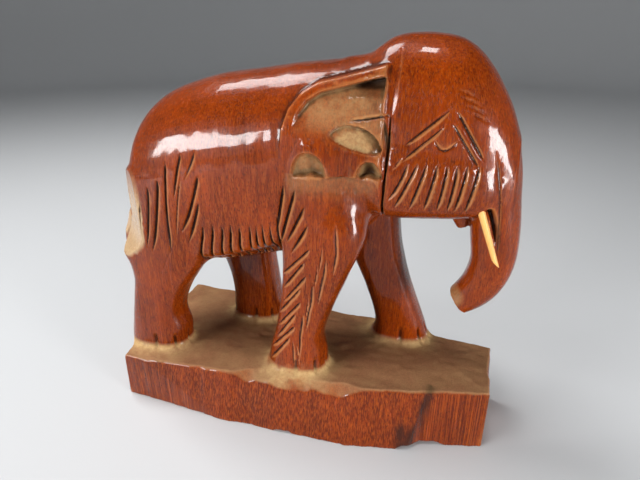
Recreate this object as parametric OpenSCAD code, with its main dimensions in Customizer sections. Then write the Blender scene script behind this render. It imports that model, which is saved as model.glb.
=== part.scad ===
// Carved elephant walking on a rough-hewn plinth, all from one upright block of wood.
// Two slivers of pale wood, each with a round peg, are glued into the cheeks as tusks.
// X runs towards the head, Y towards the animal's left side and Z up, in millimetres.
// The origin is the middle of the underside.

/* [Overall] */
// Length of the animal from its tail to the front of its trunk
animal_l = 118.5; // [112:0.5:124]
// Width of the animal across its ears
animal_w = 39; // [36:0.5:42]
// Height of the crown above the surface that the plinth stands on
overall_h = 109.5; // [104:0.5:115]

/* [Plinth] */
// Length of the plinth
plinth_l = 112; // [108:1:118]
// Width of the plinth across the hind feet
plinth_w = 49; // [44:1:52]
// Thickness of the plinth under the tail
plinth_tail_h = 15.8; // [14:0.2:18]
// Thickness of the plinth under the trunk
plinth_head_h = 20; // [18:0.2:22]

/* [Tusks] */
// Thickness of a tusk where it leaves the cheek
tusk_d = 2.2; // [1.6:0.1:2.6]
// Thickness of a tusk at its tip
tusk_tip_d = 1.5; // [1:0.1:2]
// Length of a tusk that shows
tusk_l = 13; // [9:0.5:15]
// Diameter of the peg on the hidden end
peg_d = 1.8; // [1.2:0.1:2]
// Length of the peg
peg_l = 6; // [4:0.5:7]
// Gap left for the glue all round the peg
glue_gap = 0.05; // [0.03:0.01:0.1]

/* [Smoothness] */
// Number of points round each section of the animal
sides = 24; // [16:4:32]
// Number of steps between two sections
steps = 3; // [2:1:4]

/* [Hidden] */
eps = 0.01;
wood = [0.47, 0.2, 0.09];
pale_wood = [0.88, 0.66, 0.4];

// Size of the animal that the sections below draw, before it is fitted to the sizes above
drawn_l = 118.5;
drawn_w = 39;
crown_z = 109.5;
sole_z = 10;
fit = [animal_l / drawn_l, animal_w / drawn_w, overall_h / crown_z];

// The animal's middle plane lies a little to the left of the plinth's
mid_y = 0.5;

// Each section is [x, y, z, direction, half depth, half width, squareness]. The direction is
// the angle of the path in the XZ plane, 0 towards the head and -90 down. The half depth is
// measured across the path in the XZ plane, and 2 is the squareness of an ellipse.
torso = [
  [-53.6, 0, 63, 0, 6, 4, 2],
  [-51.6, 0, 64.5, 0, 12, 8.6, 2.1],
  [-46.6, 0, 66.5, 0, 19.5, 13.8, 2.2],
  [-38, 0, 69, 0, 24.5, 16.8, 2.3],
  [-24, 0, 71.6, 0, 26.8, 17.8, 2.4],
  [-8, 0, 75, 0, 26, 17.6, 2.4],
  [6, 0, 78.2, 0, 24.6, 17.2, 2.4],
  [16, 0, 80.2, 0, 22.6, 15, 2.3],
  [23, 0, 81, 0, 17, 11, 2.2],
];
head = [
  [14, 0, 87, 0, 15.6, 10, 2.2],
  [19, 0, 87.6, 0, 17.4, 11.5, 2.3],
  [25, 0, 88, 0, 20.8, 12.6, 2.4],
  [33, 0, 88.5, 0, 21, 12.8, 2.4],
  [41, 0, 88, 0, 19.8, 12, 2.4],
  [47, 0, 84.5, 0, 18, 10.4, 2.2],
  [52, 0, 80, 0, 14.6, 8, 2.2],
  [55.2, 0, 77, 0, 10, 6, 2],
];
cheek = [
  [20, 0, 77, 0, 10, 13, 2.8],
  [26, 0, 76.5, 0, 11, 14, 3],
  [36, 0, 76, 0, 10, 13.6, 3],
  [44, 0, 75.4, 0, 8.8, 12.2, 2.8],
  [49, 0, 75, 0, 7.4, 10.6, 2.5],
  [52, 0, 74.8, 0, 4.5, 8.5, 2.2],
];
trunk = [
  [46.5, 0, 87, -80, 6.6, 7.6, 2.2],
  [49.3, 0, 80, -84, 7, 7.6, 2.3],
  [51.5, 0, 71, -86, 6.2, 7.2, 2.4],
  [52.6, 0, 62, -88, 6.1, 6.8, 2.4],
  [53, 0, 54.5, -94, 5.6, 6.2, 2.4],
  [51.6, 0, 48.4, -108, 5.2, 5.6, 2.3],
  [49, 0, 44, -126, 4.6, 5, 2.2],
  [45.8, 0, 40.8, -140, 3.8, 4.4, 2.2],
];
fore_leg_right = [
  [9, -9.5, 72, -90, 10, 6.6, 2.2],
  [10, -11, 62, -92, 11.4, 6.8, 2.6],
  [8, -11.3, 50, -100, 9, 6.4, 3],
  [5.8, -11.5, 40, -100, 7.4, 6, 3.2],
  [3.4, -11.6, 30, -96, 6.8, 5.8, 3],
  [2.8, -11.6, 23, -90, 8.4, 6.2, 2.6],
  [2.4, -11.6, 17, -90, 9, 6.4, 2.5],
  [2.4, -11.6, 10, -90, 9, 6.4, 2.5],
];
fore_leg_left = [
  [12, 9.5, 72, -90, 10, 6.6, 2.2],
  [16.6, 10.5, 60, -76, 9.6, 6.6, 2.6],
  [20.6, 10.8, 48, -72, 7.4, 6.2, 3],
  [24.4, 11, 37, -72, 6.6, 5.8, 3.2],
  [27.8, 11.2, 27, -76, 7, 5.8, 3],
  [28.8, 11.2, 21, -86, 8.6, 6.2, 2.6],
  [28.6, 11.2, 17, -90, 9.6, 6.4, 2.5],
  [28.6, 11.2, 10, -90, 9.6, 6.4, 2.5],
];
hind_leg_right = [
  [-38, -9, 72, -90, 12, 6.4, 2.2],
  [-38, -10.6, 60, -90, 13.6, 7, 2.3],
  [-38.4, -11, 48, -92, 12, 6.8, 2.6],
  [-42, -11.4, 38, -98, 8.6, 6.4, 3],
  [-44.2, -11.6, 30, -98, 7.9, 6.2, 3],
  [-44.4, -11.6, 23, -92, 9.6, 6.6, 2.6],
  [-45.1, -11.6, 17, -90, 9.9, 6.8, 2.5],
  [-45.1, -11.6, 10, -90, 9.9, 6.8, 2.5],
];
hind_leg_left = [
  [-33, 9, 72, -90, 12, 6.4, 2.2],
  [-29, 10.6, 58, -84, 12, 7, 2.3],
  [-24.6, 11, 46, -80, 9.6, 6.6, 2.6],
  [-22.2, 11.2, 36, -82, 8, 6.2, 3],
  [-21, 11.4, 27, -88, 8, 6, 3],
  [-20.8, 11.4, 20, -90, 8.6, 6.4, 2.6],
  [-20.8, 11.4, 10, -90, 8.8, 6.6, 2.5],
];
flank = [
  [-33, 0, 57.6, 0, 9, 15.6, 4],
  [-24.5, 0, 60, 0, 11.8, 16.7, 5],
  [-9, 0, 64, 0, 11, 16.7, 5],
  [3, 0, 68, 0, 10.6, 16.2, 4],
];
hock = [
  [-45, -9.6, 57, -90, 8.4, 6.6, 2.6],
  [-46, -9.6, 51.5, -90, 9, 6.8, 2.8],
  [-45.8, -9.8, 48, -90, 8.8, 6.8, 2.8],
  [-44.4, -10.4, 43.6, -96, 7.9, 6.4, 2.8],
  [-42.8, -11, 39, -98, 7.4, 6, 2.8],
];
ear = [
  [0.6, 0, 83.5, 0, 3.5, 3.4, 2.4],
  [2, 0, 85.5, 0, 7.5, 4.2, 2.6],
  [6, 0, 87.2, 0, 10.4, 4.8, 2.8],
  [14, 0, 88, 0, 11.6, 5, 2.8],
  [22, 0, 88.8, 0, 11.8, 4.8, 2.8],
  [26, 0, 87, 0, 9, 4.2, 2.6],
];
ear_y = 14.5;
tail = [
  [-47, -3, 76, -115, 3, 3, 2],
  [-49.4, -3.4, 69, -108, 2.8, 3, 2.2],
  [-50.8, -4, 62, -112, 2.6, 2.8, 2.4],
  [-53.4, -4.4, 57, -114, 2.5, 2.6, 2.5],
  [-56, -4.6, 51, -100, 2.4, 2.5, 2.6],
  [-56.8, -4.6, 44.5, -90, 2.4, 2.4, 2.6],
];

// Recess each side of the tail: how far its wall faces outwards from straight back, in degrees,
// how far that wall is from the middle of the animal, and the height of the shelf under it
recess_turn = 50;
recess_reach = 41;
shelf_z = 46.5;

// Underside of the plinth in fractions of its length and half width, tapering under the trunk
plinth_plan = [
  [-0.48, -0.93], [-0.14, -1], [0.14, -0.93], [0.24, -0.86], [0.32, -0.76], [0.35, -0.61], [0.5, -0.41],
  [0.5, 0.48], [0.33, 0.58], [0.15, 0.77], [0.02, 0.82], [-0.35, 0.98], [-0.5, 1]
];
plinth_x = 1.5;
plinth_slope = atan((plinth_head_h - plinth_tail_h) / plinth_l);
// The right-hand wall leans inwards as it rises, in degrees. It has two facets, each given by a
// place on its lower edge and by how far it turns towards the trunk
wall_lean = 10;
wall_facets = [
  [[0, -0.97 * plinth_w / 2, 0], 3],
  [[0.24 * plinth_l, -0.865 * plinth_w / 2, 0], 13],
];

// Tusk line: from the root in the cheek down, forwards and a little outwards
tusk_root = [49.2 * fit[0], 8.9, 69.4 * fit[2]];
tusk_lean = 22;
tusk_splay = 4;
// Slant of the cut at the tusk's tip, and how far its hole is open beyond the root
tip_slant = 35;
hole_mouth = 4;
round_sides = 32;

// Point on a smooth curve through four neighbouring sections, at t from p1 to p2
function between(p0, p1, p2, p3, t) =
  0.5 * (2 * p1 + (p2 - p0) * t + (2 * p0 - 5 * p1 + 4 * p2 - p3) * t * t
    + (3 * p1 - p0 - 3 * p2 + p3) * t * t * t);

// The sections with smooth ones added between them
function smooth(list) = let (last = len(list) - 1) [
  for (i = [0 : last - 1], s = [0 : steps - 1])
    between(list[max(i - 1, 0)], list[i], list[i + 1], list[min(i + 2, last)], s / steps),
  list[last]
];

// Cosine or sine squared off by the power that a section's squareness gives
function squared(v, n) = sign(v) * pow(abs(v), 2 / n);

// The points round one section
function ring(s) = [
  for (k = [0 : sides - 1])
    let (
      across = s[4] * squared(cos(360 * k / sides), s[6]),
      along_y = s[5] * squared(sin(360 * k / sides), s[6])
    )
    [s[0] - sin(s[3]) * across, s[1] + along_y, s[2] + cos(s[3]) * across]
];

// Closed skin through a row of sections
module form(list) {
  rows = smooth(list);
  last = len(rows) - 1;
  skin = [
    for (i = [0 : last - 1], k = [0 : sides - 1])
      let (a = i * sides, b = a + sides, next = (k + 1) % sides)
      [a + k, a + next, b + next, b + k]
  ];
  first_end = [for (k = [sides - 1 : -1 : 0]) k];
  last_end = [for (k = [0 : sides - 1]) last * sides + k];
  polyhedron([for (s = rows) each ring(s)], concat([first_end], skin, [last_end]), convexity = 4);
}

// The animal without its tusks, fitted to the overall sizes
module animal() {
  resize([animal_l, animal_w, (crown_z - sole_z) * fit[2]])
    difference() {
      solid_animal();
      for (side = [-1, 1])
        rotate([0, 0, 180 - side * recess_turn])
          translate([recess_reach, -animal_w, shelf_z])
            cube([animal_w, 2 * animal_w, crown_z - shelf_z]);
    }
}

// Everything the animal has before the recesses are cut
module solid_animal() {
  form(torso);
  form(head);
  form(cheek);
  form(trunk);
  form(fore_leg_right);
  form(fore_leg_left);
  form(hind_leg_right);
  form(hind_leg_left);
  form(hock);
  form(flank);
  form(tail);
  for (side = [-1, 1])
    translate([0, side * ear_y, 0]) form(ear);
}

// Rough-hewn block under the feet, thicker under the trunk than under the tail
module plinth() {
  translate([plinth_x, 0, 0])
    difference() {
      linear_extrude(2 * plinth_head_h)
        polygon([for (p = plinth_plan) [p[0] * plinth_l, p[1] * plinth_w / 2]]);
      translate([-plinth_l / 2, 0, plinth_tail_h])
        rotate([0, -plinth_slope, 0])
          translate([-plinth_l, -plinth_w, 0])
            cube([3 * plinth_l, 2 * plinth_w, 2 * plinth_head_h]);
      for (facet = wall_facets)
        translate(facet[0])
          rotate([-wall_lean, 0, facet[1]])
            translate([-plinth_l, -plinth_w, -plinth_head_h])
              cube([2 * plinth_l, plinth_w, 3 * plinth_head_h]);
    }
}

// Places its children at the tusk's root with Z along the tusk, on the side given
module at_tusk(side) {
  translate([tusk_root[0], mid_y + side * tusk_root[1], tusk_root[2]])
    rotate([side * tusk_splay, 0, 0])
      rotate([0, 180 - tusk_lean, 0])
        children();
}

// Sliver that tapers to an obliquely cut tip, on a round peg
module tusk(side) {
  color(pale_wood)
    at_tusk(side) {
      translate([0, 0, -peg_l]) cylinder(d = peg_d, h = peg_l + eps, $fn = round_sides);
      difference() {
        cylinder(d1 = tusk_d, d2 = tusk_tip_d, h = tusk_l, $fn = round_sides);
        translate([0, 0, tusk_l])
          rotate([0, -tip_slant, 0])
            translate([-2 * tusk_d, -2 * tusk_d, 0]) cube(4 * tusk_d);
      }
    }
}

module carving() {
  color(wood)
    difference() {
      union() {
        translate([0, mid_y, 0]) animal();
        plinth();
      }
      for (side = [-1, 1])
        at_tusk(side)
          translate([0, 0, -peg_l - glue_gap])
            cylinder(d = peg_d + 2 * glue_gap, h = peg_l + hole_mouth, $fn = round_sides);
    }
}

module tusk_right() {
  tusk(-1);
}

module tusk_left() {
  tusk(1);
}

carving();
tusk_right();
tusk_left();
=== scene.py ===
"""Carved elephant: the detailed carving, its two tusks, their finishes and the stage.

The add-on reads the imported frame, carves the animal out of a volume of distances (millimetres to
the nearest surface, negative inside the wood) and meshes the result. The lengths of forms and cuts
are in millimetres and turn into metres when a mesh is made, and the stage's are in metres.
"""

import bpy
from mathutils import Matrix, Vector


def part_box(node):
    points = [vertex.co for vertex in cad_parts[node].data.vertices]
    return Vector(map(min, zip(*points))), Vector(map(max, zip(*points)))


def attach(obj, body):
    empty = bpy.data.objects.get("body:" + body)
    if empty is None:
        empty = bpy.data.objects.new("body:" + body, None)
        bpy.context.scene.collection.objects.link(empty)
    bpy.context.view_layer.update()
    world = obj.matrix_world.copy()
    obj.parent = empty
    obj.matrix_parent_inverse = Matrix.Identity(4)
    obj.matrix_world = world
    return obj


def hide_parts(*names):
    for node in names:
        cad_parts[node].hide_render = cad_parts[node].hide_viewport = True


bl_info = {
    "name": "Carved Elephant",
    "version": (1, 0, 0),
    "blender": (4, 5, 0),
    "location": "View3D > Sidebar > Elephant",
    "description": "A hand-carved wooden elephant on its plinth, with slivers of pale wood as tusks",
    "category": "Add Mesh",
}

from math import cos, pi, radians, tan

import bmesh
import bpy
import numpy as np
import openvdb as vdb
from mathutils import Euler, Vector

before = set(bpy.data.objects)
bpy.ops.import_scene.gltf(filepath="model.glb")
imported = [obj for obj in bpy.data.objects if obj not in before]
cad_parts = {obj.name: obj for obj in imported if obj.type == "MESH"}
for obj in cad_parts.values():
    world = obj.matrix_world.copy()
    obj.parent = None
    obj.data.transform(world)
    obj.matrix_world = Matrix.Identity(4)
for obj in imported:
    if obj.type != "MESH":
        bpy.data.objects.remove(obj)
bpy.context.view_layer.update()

MM = 0.001
CARVING_LOW, CARVING_HIGH = (np.array(corner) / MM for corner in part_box("carving"))

# ---------------------------------------------------------------------------------------------
# The animal's forms, as in the CAD model
# ---------------------------------------------------------------------------------------------

MID_Y = 0.5

# Each section is x, y, z, the direction of the path in the XZ plane in degrees, the half depth
# across the path, the half width along Y and the squareness, where 2 is an ellipse.
TORSO = (
    (-53.6, 0, 63, 0, 6, 4, 2),
    (-51.6, 0, 64.5, 0, 12, 8.6, 2.1),
    (-46.6, 0, 66.5, 0, 19.5, 13.8, 2.2),
    (-38, 0, 69, 0, 24.5, 16.8, 2.3),
    (-24, 0, 71.6, 0, 26.8, 17.8, 2.4),
    (-8, 0, 75, 0, 26, 17.6, 2.4),
    (6, 0, 78.2, 0, 24.6, 17.2, 2.4),
    (16, 0, 80.2, 0, 22.6, 15, 2.3),
    (23, 0, 81, 0, 17, 11, 2.2),
)
HEAD = (
    (14, 0, 87, 0, 15.6, 10, 2.2),
    (19, 0, 87.6, 0, 17.4, 11.5, 2.3),
    (25, 0, 88, 0, 20.8, 12.6, 2.4),
    (33, 0, 88.5, 0, 21, 12.8, 2.4),
    (41, 0, 88, 0, 19.8, 12, 2.4),
    (47, 0, 84.5, 0, 18, 10.4, 2.2),
    (52, 0, 80, 0, 14.6, 8, 2.2),
    (55.2, 0, 77, 0, 10, 6, 2),
)
CHEEK = (
    (20, 0, 77, 0, 10, 13, 2.8),
    (26, 0, 76.5, 0, 11, 14, 3),
    (36, 0, 76, 0, 10, 13.6, 3),
    (44, 0, 75.4, 0, 8.8, 12.2, 2.8),
    (49, 0, 75, 0, 7.4, 10.6, 2.5),
    (52, 0, 74.8, 0, 4.5, 8.5, 2.2),
)
LIP = (
    (42.5, 0, 72, -90, 3.4, 5, 2.4),
    (43.6, 0, 67, -80, 2.8, 4.2, 2.4),
    (44.8, 0, 63.4, -70, 1.8, 3.2, 2.4),
)
TRUNK = (
    (46.5, 0, 87, -80, 6.6, 7.6, 2.2),
    (49.3, 0, 80, -84, 7, 7.6, 2.3),
    (51.5, 0, 71, -86, 6.2, 7.2, 2.4),
    (52.6, 0, 62, -88, 6.1, 6.8, 2.4),
    (53, 0, 54.5, -94, 5.6, 6.2, 2.4),
    (51.6, 0, 48.4, -108, 5.2, 5.6, 2.3),
    (49, 0, 44, -126, 4.6, 5, 2.2),
    (45.8, 0, 40.8, -140, 3.8, 4.4, 2.2),
)
FORE_LEG_RIGHT = (
    (9, -9.5, 72, -90, 10, 6.6, 2.2),
    (10, -11, 62, -92, 11.4, 6.8, 2.6),
    (8, -11.3, 50, -100, 9, 6.4, 3),
    (5.8, -11.5, 40, -100, 7.4, 6, 3.2),
    (3.4, -11.6, 30, -96, 6.8, 5.8, 3),
    (2.8, -11.6, 23, -90, 8.4, 6.2, 2.6),
    (2.4, -11.6, 17, -90, 9, 6.4, 2.5),
    (2.4, -11.6, 10, -90, 9, 6.4, 2.5),
)
FORE_LEG_LEFT = (
    (12, 9.5, 72, -90, 10, 6.6, 2.2),
    (16.6, 10.5, 60, -76, 9.6, 6.6, 2.6),
    (20.6, 10.8, 48, -72, 7.4, 6.2, 3),
    (24.4, 11, 37, -72, 6.6, 5.8, 3.2),
    (27.8, 11.2, 27, -76, 7, 5.8, 3),
    (28.8, 11.2, 21, -86, 8.6, 6.2, 2.6),
    (28.6, 11.2, 17, -90, 9.6, 6.4, 2.5),
    (28.6, 11.2, 10, -90, 9.6, 6.4, 2.5),
)
HIND_LEG_RIGHT = (
    (-38, -9, 72, -90, 12, 6.4, 2.2),
    (-38, -10.6, 60, -90, 13.6, 7, 2.3),
    (-38.4, -11, 48, -92, 12, 6.8, 2.6),
    (-42, -11.4, 38, -98, 8.6, 6.4, 3),
    (-44.2, -11.6, 30, -98, 7.9, 6.2, 3),
    (-44.4, -11.6, 23, -92, 9.6, 6.6, 2.6),
    (-45.1, -11.6, 17, -90, 9.9, 6.8, 2.5),
    (-45.1, -11.6, 10, -90, 9.9, 6.8, 2.5),
)
HIND_LEG_LEFT = (
    (-33, 9, 72, -90, 12, 6.4, 2.2),
    (-29, 10.6, 58, -84, 12, 7, 2.3),
    (-24.6, 11, 46, -80, 9.6, 6.6, 2.6),
    (-22.2, 11.2, 36, -82, 8, 6.2, 3),
    (-21, 11.4, 27, -88, 8, 6, 3),
    (-20.8, 11.4, 20, -90, 8.6, 6.4, 2.6),
    (-20.8, 11.4, 10, -90, 8.8, 6.6, 2.5),
)
TAIL = (
    (-47, -3, 76, -115, 3, 3, 2),
    (-49.4, -3.4, 69, -108, 2.8, 3, 2.2),
    (-50.8, -4, 62, -112, 2.6, 2.8, 2.4),
    (-53.4, -4.4, 57, -114, 2.5, 2.6, 2.5),
    (-56, -4.6, 51, -100, 2.4, 2.5, 2.6),
    (-56.8, -4.6, 44.5, -90, 2.4, 2.4, 2.6),
)
FLANK = (
    (-33, 0, 57.6, 0, 9, 15.6, 4),
    (-24.5, 0, 60, 0, 11.8, 16.7, 5),
    (-9, 0, 64, 0, 11, 16.7, 5),
    (3, 0, 68, 0, 10.6, 16.2, 4),
)
HOCK = (
    (-45, -9.6, 57, -90, 8.4, 6.6, 2.6),
    (-46, -9.6, 51.5, -90, 9, 6.8, 2.8),
    (-45.8, -9.8, 48, -90, 8.8, 6.8, 2.8),
    (-44.4, -10.4, 43.6, -96, 7.9, 6.4, 2.8),
    (-42.8, -11, 39, -98, 7.4, 6, 2.8),
)
LEGS = (FORE_LEG_RIGHT, FORE_LEG_LEFT, HIND_LEG_RIGHT, HIND_LEG_LEFT)

# The forms that are laid onto the torso, in order, each with the width of the fillet round it
FILLETS = (
    (HEAD, 4.0), (CHEEK, 2.0), (TRUNK, 2.0), (LIP, 0.8), *((leg, 3.0) for leg in LEGS),
    (HOCK, 1.5), (FLANK, 1.0), (TAIL, 0.8),
)

# The recess beside the tail: which way its wall faces, that wall's distance from the origin, and
# the height of the shelf below it
RUMP_TURN = (0.646, 0.763)
RUMP_REACH = 41.0
SHELF_Z = 46.5
# How far above the shelf the wall begins to curve, and how far it then curves outwards
CURVE_RISE = 9.0
CURVE_OUT = 5.0

# Corners of the plinth's underside and the height of its top under the tail and the trunk
PLINTH_PLAN = (
    (-52.3, -22.8), (-14.2, -24.5), (17.2, -22.8), (28.4, -21), (37.3, -18.6), (40.7, -15), (57.5, -10),
    (57.5, 11.8), (38.5, 14.2), (18.3, 18.9), (3.7, 20), (-37.7, 24), (-54.5, 24.5),
)
PLINTH_TOP = (15.8, 20.0)
WALL_LEAN = radians(10)
# The leaning wall's two facets: a place on the lower edge of each and its slope in plan
WALL_FACETS = ((0, -23.3, 0.052), (28.4, -20.6, 0.231))


def between(rows, t):
    """A smooth curve through rows: the cubic whose slope at each row is half of the step from
    the row before to the row after. t counts rows and may be an array."""
    i = np.clip(np.floor(t).astype(int), 0, len(rows) - 2)
    f = (t - i)[:, None]
    last = len(rows) - 1
    p0, p1, p2, p3 = rows[np.maximum(i - 1, 0)], rows[i], rows[i + 1], rows[np.minimum(i + 2, last)]
    return 0.5 * (
        2 * p1 + (p2 - p0) * f + (2 * p0 - 5 * p1 + 4 * p2 - p3) * f**2
        + (3 * p1 - p0 - 3 * p2 + p3) * f**3
    )


def form(sections, sides=64, steps=10):
    """A closed skin through a row of sections: at each smooth step along the row, a ring whose
    two half sizes are the cosine and sine squared off by the section's squareness. Returns the
    points, then quads for the skin and triangles for the two ends."""
    rows = np.array(sections, float)
    count = (len(rows) - 1) * steps + 1
    x, y, z, turn, deep, wide, square = between(rows, np.linspace(0, len(rows) - 1, count)).T
    angle = np.linspace(0, 2 * pi, sides, endpoint=False)
    power = 2 / square[:, None]
    across = deep[:, None] * np.sign(np.cos(angle)) * np.abs(np.cos(angle)) ** power
    along_y = wide[:, None] * np.sign(np.sin(angle)) * np.abs(np.sin(angle)) ** power
    turn = np.radians(turn)[:, None]
    rings = np.stack(
        [x[:, None] - np.sin(turn) * across, y[:, None] + along_y, z[:, None] + np.cos(turn) * across], -1
    )
    points = np.concatenate([rings.reshape(-1, 3), rings[[0, -1]].mean(1)])
    a = np.arange((count - 1) * sides)
    b = a - a % sides + (a + 1) % sides
    quads = np.stack([a, a + sides, b + sides, b], -1)
    k = np.arange(sides)
    k1 = (k + 1) % sides
    far = (count - 1) * sides
    first = np.stack([k, k1, np.full(sides, count * sides)], -1)
    last = np.stack([far + k1, far + k, np.full(sides, count * sides + 1)], -1)
    return points, quads, np.concatenate([first, last])


# ---------------------------------------------------------------------------------------------
# Volumes of distances
# ---------------------------------------------------------------------------------------------

# Voxel sizes of the carved volume and of the forms, and the space left round the carving
FINE = 0.3
COARSE = 2 * FINE
MARGIN = 3.0
# How many voxels each side of a skin its distances reach
REACH = 14
GRID_LOW = np.floor((CARVING_LOW - MARGIN) / COARSE).astype(int)
GRID_SHAPE = tuple(np.ceil((CARVING_HIGH + MARGIN) / COARSE).astype(int) - GRID_LOW + 1)
# Cells along each side of the noise's lattice
CELLS = 64


def distances(points, quads, triangles):
    """Distance volume of a closed skin on the coarse grid."""
    grid = vdb.FloatGrid.createLevelSetFromPolygons(
        points.astype("f4"),
        triangles=triangles.astype("u4"),
        quads=quads.astype("u4"),
        transform=vdb.createLinearTransform(voxelSize=COARSE),
        halfWidth=REACH,
    )
    volume = np.empty(GRID_SHAPE, "f4")
    grid.copyToArray(volume, ijk=tuple(int(i) for i in GRID_LOW))
    return volume


def blend(a, b, k):
    """The nearer of two distances, with the corner between the shapes filled over a width k."""
    h = np.clip(0.5 + 0.5 * (b - a) / k, 0, 1)
    return b + (a - b) * h - k * h * (1 - h)


def twice_as_fine(volume):
    """The volume with a value added between each two, on the cubic through the four nearest."""
    for axis in range(3):
        v = np.moveaxis(volume, axis, 0)
        edge = np.concatenate([2 * v[:1] - v[1:2], v, 2 * v[-1:] - v[-2:-1]])
        middle = (9 * (edge[1:-2] + edge[2:-1]) - edge[:-3] - edge[3:]) / 16
        out = np.empty((2 * len(v) - 1,) + v.shape[1:], "f4")
        out[::2] = v
        out[1::2] = middle
        volume = np.moveaxis(out, 0, axis)
    return np.ascontiguousarray(volume)


def read(volume, points, step):
    """Values of a volume at points, weighted linearly between the eight nearest."""
    at = points / step - (GRID_LOW * COARSE / step)
    i = np.clip(np.floor(at).astype(int), 0, np.array(volume.shape) - 2)
    f = at - i
    total = 0
    for corner in np.ndindex(2, 2, 2):
        weight = np.prod(np.where(corner, f, 1 - f), axis=1)
        total = total + weight * volume[tuple((i + corner).T)]
    return total


def soft_average(volume, radius):
    """Average over a cube of voxels, by running sums along each axis."""
    width = 2 * radius + 1
    for axis in range(3):
        v = np.moveaxis(volume, axis, 0)
        padded = np.concatenate([v[:1]] * (radius + 1) + [v] + [v[-1:]] * radius)
        total = np.cumsum(padded, axis=0, dtype="f8")
        volume = np.moveaxis(((total[width:] - total[:-width]) / width).astype("f4"), 0, axis)
    return volume


def lattice(seed):
    """Random values from -1 to 1, the same ones for the same seed."""
    return np.random.default_rng(seed).uniform(-1, 1, (CELLS,) * 3).astype("f4")


def faded(at):
    """Lattice cells and the weights of their far sides, faded by 3 t squared minus 2 t cubed."""
    i = np.floor(at).astype(int)
    f = (at - i).astype("f4")
    return i % CELLS, f * f * (3 - 2 * f)


def noise(points, size, seed):
    """Smooth noise from -1 to 1: random values on a lattice of the given cell sizes, faded
    between the eight nearest."""
    i, f = faded(points / np.array(size) + 100)
    values = lattice(seed)
    total = 0
    for corner in np.ndindex(2, 2, 2):
        weight = np.prod(np.where(corner, f, 1 - f), axis=1)
        total = total + weight * values[tuple(((i + corner) % CELLS).T)]
    return total


def noise_volume(axes, size, seed):
    """The same noise on a grid, worked out one axis at a time."""
    values = lattice(seed)
    for axis, (line, cell) in enumerate(zip(axes, size)):
        i, f = faded(line / cell + 100)
        f = f.reshape([-1 if a == axis else 1 for a in range(3)])
        values = np.take(values, i, axis) * (1 - f) + np.take(values, (i + 1) % CELLS, axis) * f
    return values


def ramp(value, low, high):
    """0 below low, 1 above high and a smooth step between."""
    t = np.clip((value - low) / (high - low), 0, 1)
    return t * t * (3 - 2 * t)


# ---------------------------------------------------------------------------------------------
# Knife work
# ---------------------------------------------------------------------------------------------

# Which side of the animal a cut is on
RIGHT, LEFT, BOTH = -1, 1, 0


class Stroke:
    """One V cut drawn on the animal's side: a curve in the XZ plane through start, an optional
    middle and end, its width and depth, the lengths over which it runs in and out, and how far
    from the animal's middle plane it begins. lean is the share of the width that its rear wall
    takes, so a small lean makes that wall steep."""

    def __init__(self, line, width, depth, side=BOTH, begin=5.0, lean=0.3, run_in=3.0, run_out=4.0):
        self.line = np.array(line, float)
        self.width, self.depth, self.side, self.begin = width, depth, side, begin
        self.lean, self.run_in, self.run_out = lean, run_in, run_out

    def path(self):
        """Points along the cut, on the parabola through its three given points."""
        p = self.line
        if len(p) == 2:
            return p
        t = np.linspace(0, 1, 7)[:, None]
        bend = 2 * p[1] - 0.5 * (p[0] + p[2])
        return (1 - t) ** 2 * p[0] + 2 * t * (1 - t) * bend + t**2 * p[2]

    def shape(self, x, z, spread=(1.0, 1.0)):
        """The cut's cross section at points of the XZ plane, from 0 at its edges to 1 at its
        bottom: it grows from nothing over run_in and dies away over run_out, and its width
        follows. Smaller spreads of its rear and front wall keep to its bottom."""
        path = self.path()
        step = np.linalg.norm(np.diff(path, axis=0), axis=1)
        start = np.concatenate([[0], np.cumsum(step)])
        result = np.zeros_like(x)
        for i, length in enumerate(step):
            along = (path[i + 1] - path[i]) / length
            dx, dz = x - path[i, 0], z - path[i, 1]
            s = np.clip(dx * along[0] + dz * along[1], 0, length)
            ox, oz = dx - s * along[0], dz - s * along[1]
            behind = ox * along[1] - oz * along[0] > 0
            r = np.sqrt(ox * ox + oz * oz)
            at = start[i] + s
            fade = np.sqrt(np.clip(np.minimum(at / self.run_in, (start[-1] - at) / self.run_out), 0, 1))
            half = self.width * (0.2 + 0.8 * fade)
            half = half * np.where(behind, self.lean * spread[0], (1 - self.lean) * spread[1])
            result = np.maximum(result, fade * np.clip(1 - r / half, 0, 1))
        return result


def centre_and_reach(leg, z):
    """A leg's middle and half depth along X at height z."""
    rows = np.array(leg, float)[::-1]
    return np.interp(z, rows[:, 2], rows[:, 0]), np.interp(z, rows[:, 2], rows[:, 4])


def leg_stroke(leg, top, bottom, **settings):
    """A stroke given as fractions of the leg's half depth and heights, carried onto the leg."""
    ends = []
    for u, z in (top, bottom):
        x, reach = centre_and_reach(leg, z)
        ends.append((x + u * reach, z))
    return Stroke(ends, **settings)


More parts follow.
